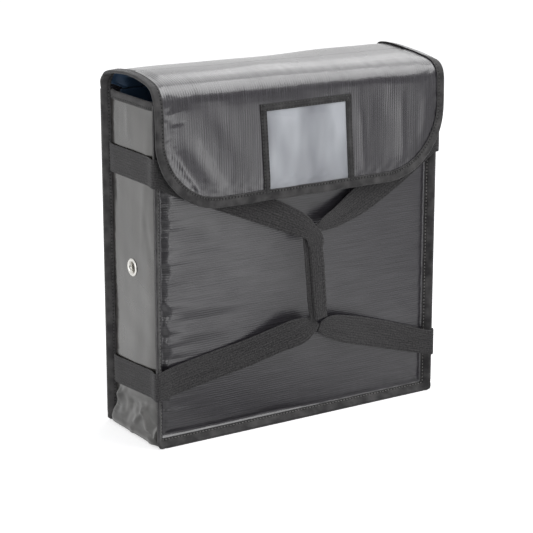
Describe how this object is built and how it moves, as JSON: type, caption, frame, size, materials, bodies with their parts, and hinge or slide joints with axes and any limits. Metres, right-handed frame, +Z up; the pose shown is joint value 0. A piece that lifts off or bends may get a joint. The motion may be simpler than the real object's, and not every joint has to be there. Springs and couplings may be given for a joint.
{
  "type": "pizza delivery bag",
  "caption": "Upright insulated bag for pizza boxes: padded box body with bound edges, fold-over flap with ticket window, and webbing straps that meet in a front grip.",
  "frame": {"origin": "flat underside of the bottom gusset, midway across the bag and midway from front panel to back panel", "axes": "+Z up towards the mouth and flap, -Y out of the front panel with the window and grip, +X to the right seen from the front"},
  "size_m": [0.4562, 0.1598, 0.4898],
  "materials": {
    "coated_cloth": "black vinyl-coated nylon, finely ribbed, satin sheen",
    "lining_cloth": "dark navy lining cloth, soft sheen",
    "foam_sheet": "closed-cell insulating foam, matt",
    "edge_tape": "black woven binding tape, matt",
    "webbing": "black polypropylene webbing, matt",
    "clear_vinyl": "clear flexible vinyl, glossy",
    "nickel": "bright nickel plate",
    "closure_pile": "hook and loop pile, matt"
  },
  "bodies": {
    "bag": {"front_outer_panel": "coated_cloth", "back_outer_panel": "coated_cloth", "gusset_outer": "coated_cloth", "front_lining": "lining_cloth", "back_lining": "lining_cloth", "gusset_lining": "lining_cloth", "front_foam": "foam_sheet", "back_foam": "foam_sheet", "gusset_foam_left": "foam_sheet", "gusset_foam_right": "foam_sheet", "gusset_foam_bottom": "foam_sheet", "front_edge_binding": "edge_tape", "back_edge_binding": "edge_tape", "front_mouth_binding": "edge_tape", "gusset_mouth_binding_left": "edge_tape", "gusset_mouth_binding_right": "edge_tape", "strap_band_upper": "webbing", "strap_band_lower": "webbing", "vent_eyelet_left": "nickel", "vent_eyelet_right": "nickel", "vent_washer_left": "nickel", "vent_washer_right": "nickel", "loop_strip": "closure_pile"},
    "flap_top": {"flap_top_outer": "coated_cloth", "flap_top_foam": "foam_sheet", "flap_top_lining": "lining_cloth", "flap_side_binding_left": "edge_tape", "flap_side_binding_right": "edge_tape"},
    "flap_front": {"flap_front_outer": "coated_cloth", "flap_front_foam": "foam_sheet", "flap_front_lining": "lining_cloth", "flap_front_binding": "edge_tape", "window_sheet": "clear_vinyl", "window_binding": "edge_tape", "hook_strip": "closure_pile"},
    "handle": {"handle_grip": "webbing", "strap_arm_upper_left": "webbing", "strap_arm_upper_right": "webbing", "strap_arm_lower_left": "webbing", "strap_arm_lower_right": "webbing"}
  },
  "joints": [
    {"name": "flap_hinge", "type": "hinge", "parent": "bag", "child": "flap_top", "pos_m": [0, 0.05579, 0.48279], "axis": [-1, 0, 0], "range_deg": [0, 180]},
    {"name": "flap_fold", "type": "hinge", "parent": "flap_top", "child": "flap_front", "pos_m": [0, -0.0727, 0.4792], "axis": [-1, 0, 0], "range_deg": [0, 90]},
    {"name": "handle_lift", "type": "slide", "parent": "bag", "child": "handle", "axis": [0, -1, 0], "range_m": [0, 0.06], "deforming": ["strap_arm_upper_left", "strap_arm_upper_right", "strap_arm_lower_left", "strap_arm_lower_right"]}
  ]
}
